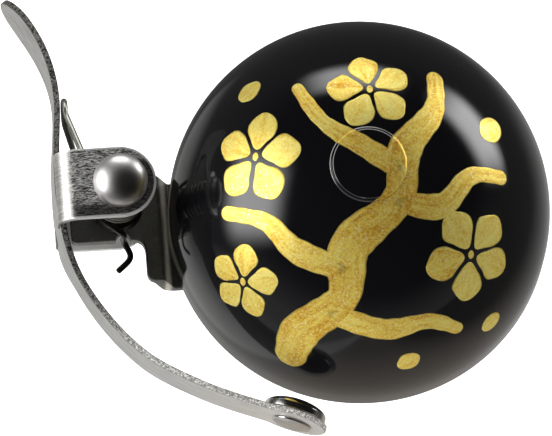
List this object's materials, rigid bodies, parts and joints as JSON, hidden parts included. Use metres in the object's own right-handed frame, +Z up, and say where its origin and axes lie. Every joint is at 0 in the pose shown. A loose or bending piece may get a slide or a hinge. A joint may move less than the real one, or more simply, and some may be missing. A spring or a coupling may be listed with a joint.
{
  "type": "bicycle bell",
  "caption": "Handlebar bell: gloss black pressed dome over a stamped bracket, struck by a hammer on a sprung side lever with a thumb pad; a lined steel band clamps it to the bar.",
  "frame": {"origin": "centre of the handlebar bore, under the middle of the dome", "axes": "+Y along the handlebar towards the thumb pad's end, +Z up the dome's axis to its crown, +X away from the lever; the lever stands on the -X side"},
  "size_m": [0.0771, 0.0666, 0.0759],
  "materials": {
    "lacquer": "deep gloss black lacquer",
    "gold_paint": "brushed-on gold paint with a fine metal grain, on the lacquer of the dome",
    "zinc": "bright zinc plate",
    "dark_steel": "gloss black plate over stamped steel",
    "liner_rubber": "matt rubber",
    "brushed_steel": "brushed, edges left as sheared",
    "nickel": "satin nickel plate",
    "nylon": "plain nylon",
    "spring_steel": "dark drawn wire"
  },
  "bodies": {
    "bell_base": {"bell_dome": "lacquer", "dome_boss": "zinc", "centre_post": "zinc", "lock_washer": "zinc", "mount_screw": "zinc", "bracket": "dark_steel", "clamp_band": "dark_steel", "bar_liner": "liner_rubber", "clamp_screw": "zinc", "clamp_washer": "zinc", "clamp_nut": "zinc", "pivot_washer": "nylon", "lever_spring": "spring_steel"},
    "striker": {"lever": "brushed_steel", "hammer": "nickel", "pivot_rivet": "nickel", "pivot_sleeve": "zinc"}
  },
  "joints": [
    {"name": "lever_swing", "type": "hinge", "parent": "bell_base", "child": "striker", "pos_m": [-0.0347, 0.0031, 0.029], "axis": [0, 0, 1], "range_deg": [-25, 5], "stiffness_Nm_per_rad": 0.12, "deforming": ["lever_spring"]}
  ]
}
